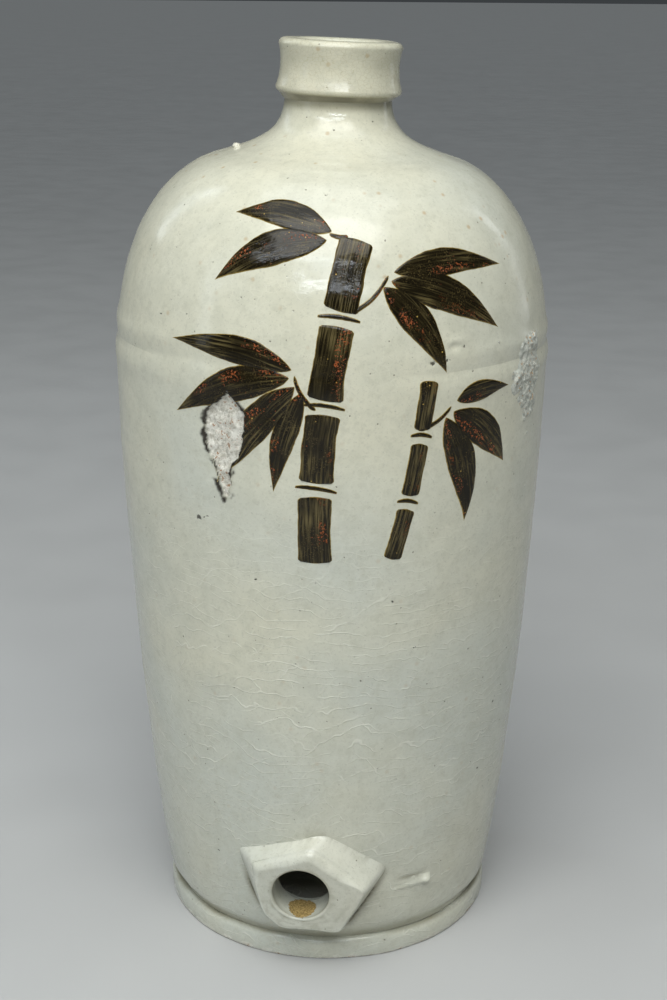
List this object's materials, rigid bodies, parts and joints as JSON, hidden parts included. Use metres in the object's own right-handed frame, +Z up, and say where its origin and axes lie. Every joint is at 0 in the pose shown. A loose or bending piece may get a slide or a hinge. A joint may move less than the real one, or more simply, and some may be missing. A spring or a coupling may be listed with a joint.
{
  "type": "sake bottle",
  "caption": "Tall glazed stoneware sake bottle with a narrow collared mouth, a tap hole in a raised boss above the foot, and a painted bamboo.",
  "frame": {"origin": "centre of the face that the foot ring stands on", "axes": "+Z up along the bottle; the tap hole faces -Y"},
  "size_m": [0.182, 0.1826, 0.3809],
  "materials": {
    "pale_glaze": "glossy pale grey-green glaze with fine crackle",
    "collar_glaze": "glossy glaze with a fine olive-brown net of crackle",
    "bare_clay": "matt unglazed stoneware",
    "kiln_grit": "rough fused grit with rust specks",
    "iron_glaze": "glossy black-brown iron glaze, brushed on"
  },
  "bodies": {
    "root": {"base_disc": "bare_clay", "foot_ring": "pale_glaze", "lower_wall": "pale_glaze", "shoulder_wall": "pale_glaze", "neck_tube": "pale_glaze", "mouth_collar": "collar_glaze", "tap_boss": "pale_glaze", "clay_smear": "pale_glaze", "kiln_crust": "kiln_grit", "shoulder_drip": "pale_glaze", "painted_culms": "iron_glaze", "painted_culm_rings": "iron_glaze", "painted_twigs": "iron_glaze", "painted_leaves": "iron_glaze"}
  },
  "joints": []
}
